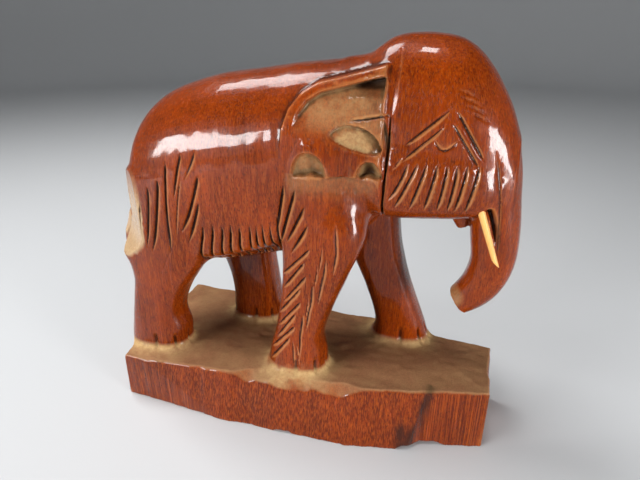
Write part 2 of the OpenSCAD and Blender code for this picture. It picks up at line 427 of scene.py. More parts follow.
def hip_strokes():
    """Long cuts that fan down over the hip, and two scratches on the thigh."""
    fan = (
        ((-42.6, 65), (-43.6, 53), -0.2, 0.9, 0.6),
        ((-39.2, 70), (-41.8, 51.5), 0.4, 1.1, 0.9),
        ((-35.6, 72.4), (-40, 50.5), 0.6, 1.3, 1.0),
        ((-32.4, 77.4), (-33.8, 51), -0.5, 1.1, 1.0),
        ((-27.2, 80.4), (-30.6, 67.5), -0.3, 1.1, 0.9),
        ((-22.8, 81.4), (-26.6, 73), 0.2, 1.0, 0.7),
        ((-22.4, 75), (-30, 57.5), 0.7, 1.3, 1.0),
    )
    for top, end, bow, width, depth in fan:
        middle = (0.5 * (top[0] + end[0]) + bow, 0.5 * (top[1] + end[1]))
        yield Stroke((top, middle, end), width=width, depth=depth, begin=8, run_in=2, run_out=5)
    yield Stroke(((-22.9, 67.6), (-25.2, 62), (-28.2, 54.5)), width=1.3, depth=1.0, begin=8, run_out=5)
    yield Stroke(((-27.6, 74), (-29.8, 66), (-31.4, 56)), width=0.8, depth=0.5, begin=8, run_out=6)
    yield Stroke(((-33, 53), (-39, 42)), width=0.6, depth=0.16, side=RIGHT, begin=10)
    yield Stroke(((-34.8, 49), (-36.4, 34)), width=0.6, depth=0.16, side=RIGHT, begin=10)


def belly_strokes():
    """A fringe of short cuts along the lower flank that run out over the belly's edge."""
    tops = (-22.9, -19.8, -16.9, -14.4, -11.8, -8.8, -7, -5.2, -3.1)
    for i, x in enumerate(tops):
        drift = -3.4 + 0.36 * i
        top = 60.9 + 0.3 * i + 0.5 * (i % 2)
        width = 1.1 if i < 5 else 0.9
        line = ((x, top), (x + 0.45 * drift, 54), (x + 1.6 * drift, 42))
        yield Stroke(line, width=width, depth=1.1, begin=8, run_in=4, run_out=1)
    yield Stroke(((-0.9, 66.6), (-1.2, 46)), width=1.0, depth=0.9, begin=8, run_in=4, run_out=1)


def shoulder_strokes():
    """Cuts below the ear's back corner, and the herringbone down both forelegs: long cuts that
    slant back from the leg's middle line, and nearly upright ones in front of it."""
    for top, low in (((1.6, 75), (-1.6, 60)), ((4.6, 74), (-0.6, 57.6)), ((7, 69.6), (1.6, 58.6)),
                     ((8, 65), (3, 56))):
        yield Stroke((top, low), width=1.2, depth=1.0, begin=10, run_in=3, run_out=5)
    slanting = dict(width=1.0, depth=0.7, begin=12, run_in=1.5, run_out=3)
    upright = dict(width=0.9, depth=0.55, begin=12, run_in=4, run_out=5)
    fine = dict(width=0.8, depth=0.5, begin=12, run_in=4, run_out=5)
    for leg, side in ((FORE_LEG_RIGHT, RIGHT), (FORE_LEG_LEFT, LEFT)):
        for i in range(8):
            z = 58.5 - 4.1 * i
            top, low = (-0.08 - 0.1 * (i % 2), z), (-0.9 + 0.06 * (i % 3), z - 9.6)
            yield leg_stroke(leg, top, low, side=side, **slanting)
        for i in range(9):
            z = 66 - 4.6 * i
            u = 0.5 - 0.07 * i + 0.1 * (i % 2)
            yield leg_stroke(leg, (u, z), (u + 0.16, z - 11), side=side, **upright)
        for i in range(7):
            z = 60 - 5.2 * i
            yield leg_stroke(leg, (0.2 - 0.02 * i, z), (0.28, z - 9), side=side, **fine)


def cheek_strokes():
    """A row of cuts along the cheek, the two chevrons over the eye, its lower lid and the
    wrinkles on the brow."""
    tops = (31.2, 33.4, 35.4, 37.8, 40, 42.2, 44.4, 47)
    ends = (26.8, 28.4, 32, 35.4, 38.4, 40.8, 42.4, 44.8)
    for i, (x, end) in enumerate(zip(tops, ends)):
        line = ((x, 81.8), (0.5 * (x + end) + 0.3, 76.4), (end, 70.2 if i else 72.2))
        yield Stroke(line, width=1.0, depth=0.8, begin=6, run_in=2.5, run_out=3)
    yield Stroke(((30, 83.4), (27.4, 79.6)), width=0.9, depth=0.6, begin=6)
    behind_eye = (((39.8, 94.4), (30, 85.6)), 1.0, 0.7, 4), (((38.8, 90.6), (29.4, 81.8)), 0.9, 0.6, 3)
    for line, width, depth, run_in in behind_eye:
        yield Stroke(line, width=width, depth=depth, begin=6, run_in=run_in, run_out=3)
    before_eye = (((40.8, 93.8), (47.8, 82.8)), 1.0, 0.7), (((40.2, 91.2), (47, 81)), 0.9, 0.6)
    for line, width, depth in before_eye:
        yield Stroke(line, width=width, depth=depth, begin=6, run_in=2, run_out=2, lean=0.6)
    lid = ((36.4, 87.6), (38.8, 84.8), (42, 87.4))
    yield Stroke(lid, width=0.9, depth=0.5, begin=6, run_in=2, run_out=2)
    for i in range(4):
        wrinkle = ((40 + 1.2 * i, 98.2 - 1.6 * i), (45.2 + 0.9 * i, 96 - 1.7 * i))
        yield Stroke(wrinkle, width=1.3, depth=0.3, begin=4)


def neck_strokes():
    """The deep cut that parts the ear from the cheek, and its shallower end over the neck."""
    parting = ((26.4, 92), (26.2, 80), (25.2, 64))
    yield Stroke(parting, width=0.7, depth=1.8, begin=9, run_in=5, run_out=1, lean=0.5)
    yield Stroke(((27.2, 106.5), (27, 100), (26.6, 92)), width=1.8, depth=0.25, begin=4, lean=0.5)


def trunk_strokes():
    """The dark notch that the tusk leaves, and the crease down the trunk's side."""
    notch = ((50, 71), (51.6, 67), (53.2, 61))
    yield Stroke(notch, width=1.7, depth=1.5, begin=3, run_in=0.8, run_out=5)
    crease = ((50, 85), (52.6, 73), (54, 56))
    yield Stroke(crease, width=1.0, depth=0.4, begin=2, run_in=5, run_out=5, lean=0.7)


def ear_strokes():
    """The crease in the ear."""
    crease = ((17, 90.6), (21.4, 91), (26.4, 92.2))
    yield Stroke(crease, width=0.9, depth=0.7, begin=8, run_in=2, run_out=2)


def all_strokes():
    """Every V cut, in the order in which they are made."""
    yield from hip_strokes()
    yield from belly_strokes()
    yield from shoulder_strokes()
    yield from cheek_strokes()
    yield from neck_strokes()
    yield from trunk_strokes()
    yield from ear_strokes()


def add_strokes(taken, axes):
    """Adds every V cut to the volume of what is taken off. A cut has one depth along Y, so it is
    drawn once on the XZ plane and copied to each layer beyond its beginning."""
    x, y, z = axes
    out_y = y - MID_Y
    for stroke in all_strokes():
        low = stroke.line.min(0) - stroke.width
        high = stroke.line.max(0) + stroke.width
        i0, i1 = np.searchsorted(x, (low[0], high[0]))
        k0, k1 = np.searchsorted(z, (low[1], high[1]))
        flat_x, flat_z = np.meshgrid(x[i0:i1], z[k0:k1], indexing="ij")
        depth = stroke.depth * stroke.shape(flat_x, flat_z)
        side = np.abs(out_y) if stroke.side == BOTH else stroke.side * out_y
        layers = np.flatnonzero(side > stroke.begin)
        old = taken[i0:i1, layers, k0:k1]
        taken[i0:i1, layers, k0:k1] = np.maximum(old, depth[:, None, :].astype("f4"))


def cut_marks(points):
    """How much painted shade lies along the bottom and steep rear wall of the V cuts at points on the
    carving, and how much painted highlight lies on the front wall of each cut."""
    x, y, z = points.T
    cut_shade, painted_highlight = np.zeros((2, len(points)))
    for stroke in all_strokes():
        low = stroke.line.min(0) - stroke.width
        high = stroke.line.max(0) + stroke.width
        side = np.abs(y - MID_Y) if stroke.side == BOTH else stroke.side * (y - MID_Y)
        near = (x > low[0]) & (x < high[0]) & (z > low[1]) & (z < high[1]) & (side > stroke.begin)
        weight = min(1, 1.6 * stroke.depth)
        flat_x, flat_z = x[near], z[near]
        # The dark share is painted shade on the steep rear wall and along the bottom of each cut, where
        # the light does not reach; the light share is a painted highlight on its lit front wall.
        dark = stroke.shape(flat_x, flat_z, (1.2, 0.45)) * weight
        light = stroke.shape(flat_x, flat_z, (0.05, 1.9)) * weight
        cut_shade[near] = np.maximum(cut_shade[near], dark)
        painted_highlight[near] = np.maximum(painted_highlight[near], light * (1 - ramp(dark, 0, 0.3)))
    return cut_shade, painted_highlight


# Outline of the ear's raised flap, up its rear edge and forwards along its top to the neck
EAR_TOP = (
    (1.0, 79), (1.0, 84), (1.4, 88.5), (2.8, 93), (5.4, 96.6), (9, 99), (15, 100.4), (21, 102),
    (27, 103.5),
)
EAR_BACK_X = 1.0
EAR_RIM = 2.4
# How far from the animal's middle plane the ear's hollows and the ledge begin
EAR_BEGIN = 7
SILL_Z = 77.6
# The almond-shaped gouge: its middle, the cosine and sine of its tilt, its half length, and how
# far it reaches above and below its long axis
ALMOND_MIDDLE = (18.8, 85.6)
ALMOND_TILT = (0.94, -0.34)
ALMOND_HALF = 6.2
ALMOND_REACH = (3.7, -1.5)
# The two gouges on the sill: middle, half width and top of each, and their depth
SILL_GOUGES = ((8.2, 4.4, 83.4), (22.4, 3.0, 81.6))
GOUGE_DEPTH = 3.2


def ear_top_z(x):
    """Height of the ear's upper edge above a place along X."""
    line = np.array(EAR_TOP)
    return np.interp(x, line[:, 0], line[:, 1])


def ear_edge(x, z):
    """Distance inside the ear's outline in the XZ plane, negative outside. The outline is a
    polyline, measured square to it, and the ear is open in front and below."""
    line = np.array(EAR_TOP)
    nearest = np.full(x.shape, 1e3)
    for p, q in zip(line[:-1], line[1:]):
        d = q - p
        s = np.clip(((x - p[0]) * d[0] + (z - p[1]) * d[1]) / (d @ d), 0, 1)
        nearest = np.minimum(nearest, np.hypot(x - p[0] - s * d[0], z - p[1] - s * d[1]))
    inside = (x > EAR_BACK_X) & (z < ear_top_z(x))
    return np.where(inside, nearest, -nearest)


def ear_hollows(x, z):
    """Depth of the ear's carved hollows: a trough that is steep under the rim, deepest at its
    front corner, and runs out towards a ridge; the almond-shaped gouge, steep along its upper
    edge; and the two gouges that dig deeper down to a stop cut along the ear's lower edge."""
    inside = ear_edge(x, z)
    ear_side = (x < 27) & (x > 0) & (z > 70)
    low = 86.8 - 0.2 * (x - 6)
    fall = np.clip((z - low) / (98 - low), 0, 1)
    trough = 0.5 + 1.7 * fall + 1.8 * ramp(x, 12, 24) * ramp(z, 94.5, 98.5)
    trough = trough * ramp(z, low - 1.5, low + 5) * ramp(inside, EAR_RIM - 0.2, EAR_RIM + 0.6)
    trough = trough * (1 - ramp(x - 0.25 * (93 - z) * (z < 93), 24.2, 25))
    (middle_x, middle_z), (tilt_cos, tilt_sin) = ALMOND_MIDDLE, ALMOND_TILT
    u = (x - middle_x) * tilt_cos + (z - middle_z) * tilt_sin
    v = (x - middle_x) * -tilt_sin + (z - middle_z) * tilt_cos
    reach = np.sqrt(np.clip(1 - (u / ALMOND_HALF) ** 2, 0, 1))
    upper, lower = ALMOND_REACH[0] * reach, ALMOND_REACH[1] * reach
    rise = np.clip((v - lower) / np.maximum(upper - lower, 0.1), 0, 1)
    almond = (0.9 + 2.3 * rise * (0.45 + 0.55 * ramp(u, -4, 3))) * ramp(v, lower - 0.1, lower + 0.25)
    almond = almond * (1 - ramp(v, upper - 0.3, upper)) * (np.abs(u) < ALMOND_HALF)
    gouges = 0
    sill = sill_z(x)
    for centre, half, top in SILL_GOUGES:
        dome = np.clip(1 - ((x - centre) / half) ** 2 - ((z - sill) / (top - sill)) ** 2, 0, 1)
        gouges = np.maximum(gouges, GOUGE_DEPTH * dome**0.6 * ramp(z, sill - 0.3, sill + 0.3))
    return np.maximum(np.maximum(trough, almond), gouges) * ear_side


def sill_z(x):
    """Height of the uneven lower edge of the ear: a level line with two slow waves on it."""
    return SILL_Z + 0.3 * np.sin(0.9 * x) + 0.12 * np.sin(2.3 * x + 1)


def ledge_cuts(x, z):
    """Depth of the rough ledge below the ear: deepest right under the ear and running out
    downwards, torn along the grain."""
    along = ramp(x, 1, 6) * (1 - ramp(x, 22.5, 25))
    places_along = np.stack([x, 0 * x, 0 * z], -1).reshape(-1, 3)
    bottom = 73.4 + 1.2 * noise(places_along, (1.3, 1, 1), 31).reshape(x.shape)
    sill = sill_z(x)
    slope = np.clip((z - bottom) / (sill - bottom), 0, 1)
    return 0.8 * slope * (1 - ramp(z, sill - 0.2, sill + 0.3)) * along


# The directions of the cuts between a foot's nails, from straight ahead, and their size
NAIL_TURNS = np.radians((-80, -42, -6, 34, 74))
NAIL_CUT_DEPTH = 0.9
NAIL_CUT_HALF = 0.7


def toe_cuts(x, y, z, leg):
    """Depth of the upright cuts between a foot's nails: Vs at set angles round the foot's front,
    from the plinth up, fading out above."""
    foot = leg[-2]
    turn = np.arctan2((y - MID_Y - foot[1]) / foot[5], (x - foot[0]) / foot[4])
    radius = np.hypot(x - foot[0], y - MID_Y - foot[1])
    depth = 0
    for angle in NAIL_TURNS:
        across = np.abs(turn - angle) * radius
        depth = np.maximum(depth, NAIL_CUT_DEPTH * np.clip(1 - across / NAIL_CUT_HALF, 0, 1))
    up = z - plinth_top_z(x)
    return depth * ramp(up, -0.5, 0.5) * (1 - ramp(up, 3.5, 6)) * (radius < 1.5 * foot[4])


def recess_distance(x, outwards, z):
    """How far a point is inside the recess beside the tail: from an upright wall across the
    rump's corner that curves outwards below, as the square of the height, to an edge on the hock."""
    run_out = CURVE_OUT * np.clip((SHELF_Z + CURVE_RISE - z) / CURVE_RISE, 0, None) ** 2
    return RUMP_TURN[1] * outwards - RUMP_TURN[0] * x - RUMP_REACH - run_out


# ---------------------------------------------------------------------------------------------
# Carving the volume
# ---------------------------------------------------------------------------------------------


def plinth_top_z(x):
    """Height of the plinth's top, which rises evenly towards the head."""
    low, high = PLINTH_PLAN[-1][0], PLINTH_PLAN[6][0]
    return PLINTH_TOP[0] + (x - low) / (high - low) * (PLINTH_TOP[1] - PLINTH_TOP[0])


def plan_distance(x, y):
    """Signed distance to the plinth's plan: the nearest edge's distance, negative inside."""
    corners = np.array(PLINTH_PLAN)
    nearest = np.full(x.shape, 1e3)
    inside = np.zeros(x.shape, bool)
    for p, q in zip(corners, np.roll(corners, -1, axis=0)):
        d = q - p
        s = np.clip(((x - p[0]) * d[0] + (y - p[1]) * d[1]) / (d @ d), 0, 1)
        nearest = np.minimum(nearest, np.hypot(x - p[0] - s * d[0], y - p[1] - s * d[1]))
        crosses = (p[1] > y) != (q[1] > y)
        inside ^= crosses & (x < p[0] + (y - p[1]) * d[0] / (d[1] if d[1] else 1e-9))
    return np.where(inside, -nearest, nearest)


def plinth_distances(axes):
    """Distance to the rough-hewn plinth: walls that lean in on the right, a worn and split
    upper edge, a hollowed and gouged top, and a flat underside chipped along its right edge."""
    x, y, z = axes[0][:, None, None], axes[1][None, :, None], axes[2][None, None, :]
    plan_x, plan_y = np.meshgrid(axes[0], axes[1], indexing="ij")
    wall = plan_distance(plan_x, plan_y)[..., None].astype("f4")
    for facet_x, facet_y, slope in WALL_FACETS:
        lean = (facet_y + slope * (x - facet_x) - y + z * tan(WALL_LEAN)) * cos(WALL_LEAN)
        wall = np.maximum(wall, lean.astype("f4"))
    wall = wall + 0.16 * noise_volume(axes, (1.7, 1.7, 40), 5) + 0.35 * noise_volume(axes, (9, 9, 25), 6)
    top = (z - plinth_top_z(x)).astype("f4") + 0.3 * noise_volume(axes, (11, 6, 8), 7)
    top = top + 0.16 * noise_volume(axes, (2.6, 1.8, 3), 8) + 0.6 * ramp(-wall, 9, 1)
    near = ramp(-y, 4, 12)
    split = near * ramp(x, -17, -9) * (1 - ramp(x, 19, 25))
    chip = 0.25 + 0.9 * np.clip(noise_volume(axes, (6, 6, 20), 9), 0, 1) ** 1.5
    chip = chip + split * (1.1 + 0.7 * noise_volume(axes, (3.5, 3.5, 9), 10))
    edge = wall * 0.82 + top * 0.57 + chip
    solid = blend_high(blend_high(wall, top, 0.5), edge, 0.4)
    chips = 1.3 * ramp(x, 34, 36) * (1 - ramp(x, 44, 48)) + 0.7 * ramp(x, -2, 0) * (1 - ramp(x, 3, 5))
    under = near * chips * ramp(wall, -3, 0) - z
    return np.maximum(solid, under).astype("f4")


def blend_high(a, b, k):
    """The farther of two distances, with the edge between the faces rounded over a width k."""
    return -blend(-a, -b, k)


class Carving:
    """The carved volume and what its finish needs to know about each point."""

    def __init__(self):
        self.fit_to_frame()
        self.build_forms()
        self.carve()

    def fit_to_frame(self):
        """Scale that makes the drawn forms as long and as high as the CAD node."""
        parts = [form(s)[0] for s in (TORSO, HEAD, CHEEK, TRUNK, TAIL) + LEGS]
        low = np.min([p.min(0) for p in parts], axis=0)
        high = np.max([p.max(0) for p in parts], axis=0)
        length = (CARVING_HIGH - CARVING_LOW)[0]
        self.fit = np.array([length / (high - low)[0], 1.0, CARVING_HIGH[2] / high[2]])
        self.shift = np.array([CARVING_LOW[0] - low[0] * self.fit[0], MID_Y, 0.0])

    def skin(self, sections):
        """Distance to one form, fitted to the CAD node."""
        points, quads, triangles = form(sections)
        return distances(points * self.fit + self.shift, quads, triangles)

    def build_forms(self):
        """The smooth animal: its forms joined with fillets, on the coarse grid."""
        self.animal = self.skin(TORSO)
        for sections, fillet in FILLETS:
            self.animal = blend(self.animal, self.skin(sections), fillet)

    def carve(self):
        """The fine volume: ear flaps laid on, hollows and cuts taken out, then the plinth."""
        animal = twice_as_fine(self.animal)
        axes = [(np.arange(n) + 2 * low) * FINE for n, low in zip(animal.shape, GRID_LOW)]
        self.add_ears(animal, axes)
        self.cut_rump(animal, axes)
        taken = np.zeros_like(animal)
        side = np.abs(axes[1] - MID_Y)
        flat_x, flat_z = np.meshgrid(axes[0], axes[2], indexing="ij")
        hollow = np.maximum(ear_hollows(flat_x, flat_z), ledge_cuts(flat_x, flat_z))
        add_strokes(taken, axes)
        taken[:, side > EAR_BEGIN, :] += hollow[:, None, :].astype("f4")
        self.add_toes(taken, axes)
        animal += taken
        torn = 0.14 * noise_volume(axes, (1.0, 1.0, 3.5), 3)
        torn = torn + 0.08 * noise_volume(axes, (0.7, 0.7, 0.9), 4)
        rough = ramp(hollow + 0.8 * ramp(flat_z, 71, 75) * (hollow > 0.02), 0.1, 0.6)
        torn *= rough[:, None, :].astype("f4")
        animal += torn * (side > EAR_BEGIN)[None, :, None]
        animal += 0.1 * noise_volume(axes, (5, 5, 9), 1) + 0.05 * noise_volume(axes, (1.6, 1.6, 6), 2)
        self.feet = animal[::2, ::2, ::2].copy()
        count = np.searchsorted(axes[2], PLINTH_TOP[1] + 8)
        slab = animal[:, :, :count]
        low_axes = (axes[0], axes[1], axes[2][:count])
        slab[...] = np.maximum(blend(slab, plinth_distances(low_axes), 2.6), -low_axes[2].astype("f4"))
        self.volume = animal
        self.average = soft_average(animal, 4)
        self.wide_average = soft_average(animal[::2, ::2, ::2], 5)

    def add_ears(self, animal, axes):
        """The ear flaps: the body's skin raised inside the ear's outline."""
        x, y, z = axes
        flat_x, flat_z = np.meshgrid(x, z, indexing="ij")
        raised = 1.5 * ramp(ear_edge(flat_x, flat_z), -0.35, 0.35) * (1 - ramp(flat_x, 24.6, 25.4))
        raised = raised * np.maximum(ramp(flat_z, 79, 90), ramp(flat_x, 2, 8) * ramp(flat_z, 72, 78))
        side = ramp(np.abs(y - MID_Y), 2, 8)
        animal -= (raised[:, None, :] * side[None, :, None]).astype("f4")

    def cut_rump(self, animal, axes):
        """The recess each side of the tail, above the shelf's height."""
        x, y, z = axes
        i, k = np.searchsorted(x, -38), np.searchsorted(z, (SHELF_Z - 2, 86))
        part = (slice(0, i), slice(None), slice(*k))
        low = z[None, None, k[0]:k[1]]
        inside = recess_distance(x[:i, None, None], np.abs(y - MID_Y)[None, :, None], low)
        animal[part] = np.maximum(animal[part], blend(inside, low - SHELF_Z, 0.3).astype("f4"))

    def add_toes(self, taken, axes):
        """The cuts between the nails of all four feet."""
        for leg in LEGS:
            foot = leg[-2]
            middle = (foot[0], MID_Y + foot[1], plinth_top_z(foot[0]) + 2)
            reach = (foot[4] + 4, foot[5] + 4, 7)
            box = tuple(
                slice(*np.searchsorted(line, (m - r, m + r))) for line, m, r in zip(axes, middle, reach)
            )
            x, y, z = np.meshgrid(*(line[part] for line, part in zip(axes, box)), indexing="ij")
            taken[box] = np.maximum(taken[box], toe_cuts(x, y, z, leg))

    def mesh(self):
        """Points and quads of the surface where the distance is 0."""
        grid = vdb.FloatGrid(FINE * 6)
        grid.copyFromArray(np.clip(self.volume, -FINE * 6, FINE * 6), ijk=(0, 0, 0))
        grid.transform = vdb.createLinearTransform(voxelSize=FINE)
        points, triangles, quads = grid.convertToPolygons(isovalue=0.0, adaptivity=0.0)
        return points + 2 * GRID_LOW * FINE, quads

    def slope(self, points):
        """Outward direction at points: the volume's rise over a small step along each axis."""
        h = FINE * 0.6
        rise = np.stack(
            [read(self.volume, points + h * e, FINE) - read(self.volume, points - h * e, FINE)
             for e in np.eye(3)], -1
        )
        return rise / np.maximum(np.linalg.norm(rise, axis=1, keepdims=True), 1e-9)

    def finish_values(self, points, facing):
        """What the finish needs at each point: painted shade in the cuts and painted highlight on their
        front walls, sharpness (positive on edges, negative in corners), how far it lies in a hollow,
        dust, how bare the wood is, the plinth's sawn wall, the dark streak on it and the painted
        highlight on the recess wall beside the tail."""
        x, y, z = points.T
        above = z - plinth_top_z(x)
        patchy = 0.75 + 0.5 * noise(points, (5, 5, 5), 21) + 0.35 * noise(points, (1.4, 1.4, 1.4), 22)
        # Painted shade in the cuts, and painted highlight on their front walls.
        cut, painted_highlight = cut_marks(points)
        here = read(self.volume, points, FINE)
        return {
            "cut": cut,
            "painted_highlight": painted_highlight,
            "edge": read(self.average, points, FINE) - here,
            "hollow": here - read(self.wide_average, points, COARSE),
            "dust": np.maximum(self.dust_on_plinth(points, facing, above, patchy),
                               dust_on_animal(points, patchy)),
            "bare": ramp(facing[:, 2], 0.5, 0.85) * ramp(above, -4, -3) * (1 - ramp(above, 0.6, 2.5)),
            "wall": (1 - ramp(above, -1.5, -0.3)) * (1 - ramp(facing[:, 2], 0.3, 0.6)),
            "dark_streak": wall_dark_streak(x, z) * (above < -0.4) * (y < -5) * np.clip(patchy, 0, 1),
            "recess_highlight": recess_highlight_patch(x, y, z),
        }

    def dust_on_plinth(self, points, facing, above, patchy):
        """Dust on the plinth's top and its split edge: thick against the feet, thin farther off,
        as two exponentials of the distance to the nearest foot."""
        feet = read(self.feet, points, COARSE)
        level = ramp(facing[:, 2], 0.3, 0.6) * ramp(above, -5, -4)
        on_top = np.maximum(ramp(above, -1.4, -0.2), level) * (1 - ramp(above, 0.3, 2.2))
        near_feet = 0.9 * np.exp(-np.clip(feet, 0, 20) / 2.4) + 0.3 * np.exp(-np.clip(feet, 0, 30) / 7)
        return on_top * np.clip(near_feet * 1.2 * patchy, 0, 1)


def dust_on_animal(points, patchy):
    """Dust in the ear's hollows, thickest in the almond, on the ledge below and at the trunk's tip."""
    x, y, z = points.T
    in_ear = np.abs(y - MID_Y) > EAR_BEGIN
    patches = np.clip(patchy, 0, 1)
    ear = ear_hollows(x, z) * in_ear
    almond = 1 - ramp(np.hypot((x - 18.4) * 0.65, z - 85.4), 2.6, 3.4)
    ledge = ramp(z, 70, 76.5) * (1 - ramp(z, 77.6, 78.2)) * ramp(x, 1, 4) * (1 - ramp(x, 23, 25))
    tip = 1 - ramp(np.hypot(x - 44.6, z - 43.4), 1.5, 3.5)
    dust = np.maximum(0.4 * np.clip(ear / 1.5, 0, 1) * patches, 0.65 * almond * (ear > 0.7) * in_ear)
    return np.maximum(np.maximum(dust, 0.2 * ledge * in_ear * patches), 0.35 * tip)


def wall_dark_streak(x, z):
    """A dark leaning streak on the plinth's right wall that widens at its foot."""
    streak = np.exp(-(((x - 37.4 - 0.25 * z) / 1.3) ** 2))
    return streak + ramp(12 - z, 0, 6) * np.exp(-(((x - 35.4) / 1.8) ** 2))


def recess_highlight_patch(x, y, z):
    """Painted highlight: the recess's wall on the right of the tail, from its shelf up, made pale where it
    catches the light.
    """
    recess = np.abs(recess_distance(x, np.abs(y - MID_Y), z))
    recess_highlight = (1 - ramp(recess, 0.3, 0.9)) * ramp(z, SHELF_Z, SHELF_Z + 1) * (1 - ramp(z, 62, 76))
    return recess_highlight * (x < -42) * (y < MID_Y)


# ---------------------------------------------------------------------------------------------
# Meshes
# ---------------------------------------------------------------------------------------------


def mesh_from(name, points, faces):
    """A mesh object at the origin from points in millimetres and faces of equal size."""
    mesh = bpy.data.meshes.new(name)
    mesh.vertices.add(len(points))
    mesh.vertices.foreach_set("co", (points * MM).astype("f4").ravel())
    size = faces.shape[1]
    mesh.loops.add(faces.size)
    mesh.loops.foreach_set("vertex_index", faces.astype("i4").ravel())
    mesh.polygons.add(len(faces))
    mesh.polygons.foreach_set("loop_start", np.arange(0, faces.size, size, dtype="i4"))
    mesh.update(calc_edges=True)
    mesh.validate()
    piece = bpy.data.objects.new(name, mesh)
    bpy.context.scene.collection.objects.link(piece)
    return piece


def thinned(piece, triangles):
    """The piece's mesh brought down to about the given number of triangles."""
    modifier = piece.modifiers.new("Thin", "DECIMATE")
    modifier.ratio = min(1.0, triangles / sum(len(p.vertices) - 2 for p in piece.data.polygons))
    depsgraph = bpy.context.evaluated_depsgraph_get()
    mesh = bpy.data.meshes.new_from_object(piece.evaluated_get(depsgraph))
    piece.modifiers.clear()
    piece.data = mesh
    mesh.name = piece.name


def places(piece):
    """The mesh's points in millimetres."""
    points = np.empty(len(piece.data.vertices) * 3, "f4")
    piece.data.vertices.foreach_get("co", points)
    return points.reshape(-1, 3) / MM


def stand_in(piece, node):
    """Attaches the piece to the root body and hides its CAD node."""
    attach(piece, "root")
    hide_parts(node)


# ---------------------------------------------------------------------------------------------
# Materials
# ---------------------------------------------------------------------------------------------


class Value:
    """A number socket that takes part in Python sums: each operator adds one Math node."""

    def __init__(self, shader, socket):
        self.shader, self.socket = shader, socket

    def maths(self, operation, *others, clamp=False):
        node = self.shader.tree.nodes.new("ShaderNodeMath")
        node.operation = operation
        node.use_clamp = clamp
        for i, value in enumerate((self,) + others):
            self.shader.feed(node.inputs[i], value)
        return Value(self.shader, node.outputs[0])

    def __add__(self, other):
        return self.maths("ADD", other)

    __radd__ = __add__

    def __mul__(self, other):
        return self.maths("MULTIPLY", other)

    def __sub__(self, other):
        return self.maths("SUBTRACT", other)

    def __rsub__(self, other):
        return (self * -1.0).maths("ADD", other)

    def clamped(self):
        return self.maths("ADD", 0.0, clamp=True)

    def highest(self, other):
        return self.maths("MAXIMUM", other)

    def step(self, low, high):
        """0 below low, 1 above high and smooth between."""
        settings = {"interpolation_type": "SMOOTHSTEP"}
        return self.shader.node("ShaderNodeMapRange", settings,
                                {"Value": self, "From Min": low, "From Max": high})


class Shader:
    """One material and the nodes that make it."""

    def __init__(self, name):
        self.material = bpy.data.materials.new(name)
        self.material.use_nodes = True
        self.tree = self.material.node_tree
        self.surface = self.tree.nodes["Principled BSDF"]

    def feed(self, socket, value):
        if isinstance(value, Value):
            self.tree.links.new(value.socket, socket)
        else:
            socket.default_value = value

    def node(self, kind, settings=None, inputs=None, output=0):
        """Adds a node: its settings first, then the values or links of its sockets."""
        node = self.tree.nodes.new(kind)
        for name, value in (settings or {}).items():
            setattr(node, name, value)
        for name, value in (inputs or {}).items():
            self.feed(node.inputs[name], value)
        return Value(self, node.outputs[output])

    def attribute(self, name):
        return self.node("ShaderNodeAttribute", {"attribute_name": name}, output=2)

    def place(self, scale):
        """Object coordinates in millimetres, each axis times its own scale."""
        where = self.node("ShaderNodeTexCoord", output=3)
        return self.node("ShaderNodeVectorMath", {"operation": "MULTIPLY"},
                         {0: where, 1: tuple(s / MM for s in scale)})

    def noise(self, place, detail=2.0, roughness=0.5):
        inputs = {"Vector": place, "Scale": 1.0, "Detail": detail, "Roughness": roughness}
        return self.node("ShaderNodeTexNoise", None, inputs)

    def mix(self, factor, a, b):
        """Colour from a to b by the factor."""
        node = self.tree.nodes.new("ShaderNodeMix")
        node.data_type = "RGBA"
        self.feed(node.inputs[0], factor)
        self.feed(node.inputs[6], a)
        self.feed(node.inputs[7], b)
        return Value(self, node.outputs[2])

    def bump(self, height, distance):
        inputs = {"Height": height, "Distance": distance, "Strength": 1.0}
        return self.node("ShaderNodeBump", None, inputs)

    def set(self, **sockets):
        for name, value in sockets.items():
            self.feed(self.surface.inputs[name.replace("_", " ")], value)


def rgb(colour):
    return (*colour, 1.0)


